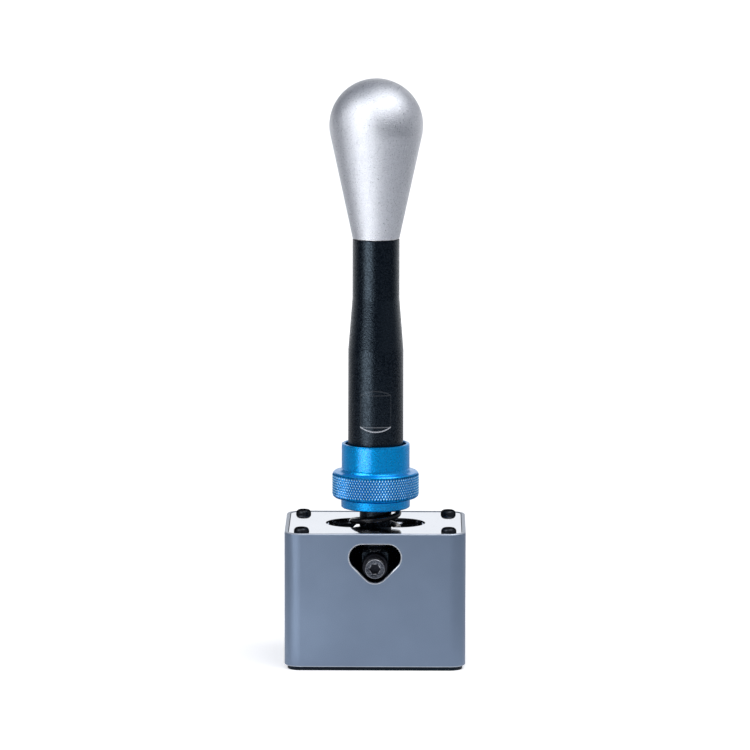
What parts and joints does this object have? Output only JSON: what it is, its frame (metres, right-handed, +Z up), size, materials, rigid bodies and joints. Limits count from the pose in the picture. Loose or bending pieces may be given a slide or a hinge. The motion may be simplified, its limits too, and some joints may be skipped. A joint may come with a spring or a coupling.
{
  "type": "sim racing gear shifter",
  "caption": "Sequential gear shifter for driving games: teardrop knob on a sprung lever with a knurled preload collar, in a box housing with a slotted top plate.",
  "frame": {"origin": "middle of the base plate's underside, below the lever's pivot", "axes": "+Z up along the lever at rest, -Y out of the windowed front, +X to the right seen from the front; the lever swings about Y"},
  "size_m": [0.09, 0.0758, 0.2921],
  "materials": {
    "grey_anodised": "fine bead-blasted grey anodised aluminium",
    "black_anodised": "fine bead-blasted black anodised aluminium",
    "black_base": "satin black anodised plate",
    "polished_plate": "polished, close to a mirror",
    "black_screw": "black oxide on steel, oiled",
    "zinc_steel": "bright zinc plate",
    "track_steel": "ground hardened steel",
    "machined_aluminium": "plain machined aluminium",
    "bronze": "sintered bronze, oiled",
    "silver_anodised": "bead-blasted clear anodised aluminium",
    "blue_anodised": "gloss blue anodised aluminium",
    "spring_black": "black spring steel",
    "plain_plastic": "natural acetal",
    "urethane": "amber urethane",
    "circuit_board": "green solder mask",
    "chip_plastic": "black moulded epoxy",
    "magnet": "nickel plate"
  },
  "bodies": {
    "root": {"housing": "grey_anodised", "base_plate": "black_base", "base_screws": "black_screw", "top_plate": "polished_plate", "top_plate_screws": "black_screw", "front_cam_plate": "track_steel", "rear_cam_plate": "track_steel", "cam_plate_screws": "zinc_steel", "pivot_bracket": "machined_aluminium", "bracket_screws": "black_screw", "pivot_bushes": "bronze", "stop_blocks": "machined_aluminium", "stop_block_screws": "black_screw", "stop_screws": "black_screw", "bump_pads": "urethane", "sensor_board": "circuit_board", "board_chips": "chip_plastic", "board_spacers": "zinc_steel", "board_screws": "zinc_steel", "data_socket": "zinc_steel"},
    "lever": {"pivot_shaft": "zinc_steel", "pivot_circlips": "black_screw", "lever_foot": "zinc_steel", "foot_grub_screw": "black_screw", "lever_shaft": "black_anodised", "grip_tube": "black_anodised", "knob_stud": "zinc_steel", "knob": "silver_anodised", "coil_spring": "spring_black", "sensor_magnet": "magnet"},
    "follower": {"follower_block": "black_anodised", "follower_bush": "bronze", "front_follower_screw": "black_screw", "rear_follower_screw": "black_screw", "front_roller_core": "track_steel", "rear_roller_core": "track_steel", "roller_washers": "zinc_steel", "spring_washer": "zinc_steel"},
    "front_wheel": {"front_roller": "track_steel"},
    "rear_wheel": {"rear_roller": "track_steel"},
    "cup": {"spring_cup": "blue_anodised", "thrust_washer": "plain_plastic"},
    "collar": {"adjuster_collar": "blue_anodised"}
  },
  "joints": [
    {"name": "lever_tilt", "type": "hinge", "parent": "root", "child": "lever", "pos_m": [0, 0, 0.02], "axis": [0, 1, 0], "range_deg": [-4.5, 4.5], "stiffness_Nm_per_rad": 60},
    {"name": "follower_rise", "type": "slide", "parent": "lever", "child": "follower", "axis": [0, 0, 1], "range_m": [0, 0.004], "stiffness_N_per_m": 12000, "springref_m": -0.01, "deforming": ["coil_spring"]},
    {"name": "front_roller_spin", "type": "hinge", "parent": "follower", "child": "front_wheel", "pos_m": [0, -0.0287, 0.0519], "axis": [0, 1, 0], "continuous": true},
    {"name": "rear_roller_spin", "type": "hinge", "parent": "follower", "child": "rear_wheel", "pos_m": [0, 0.0287, 0.0519], "axis": [0, 1, 0], "continuous": true},
    {"name": "preload_shift", "type": "slide", "parent": "lever", "child": "cup", "axis": [0, 0, 1], "range_m": [-0.00301, 0.00301], "deforming": ["coil_spring"]},
    {"name": "collar_turn", "type": "hinge", "parent": "cup", "child": "collar", "pos_m": [0, 0, 0.0946], "axis": [0, 0, 1], "range_deg": [-720, 720]}
  ],
  "couplings": [
    {"joint": "preload_shift", "follows": "collar_turn", "m_per_rad": 0.00023873}
  ]
}
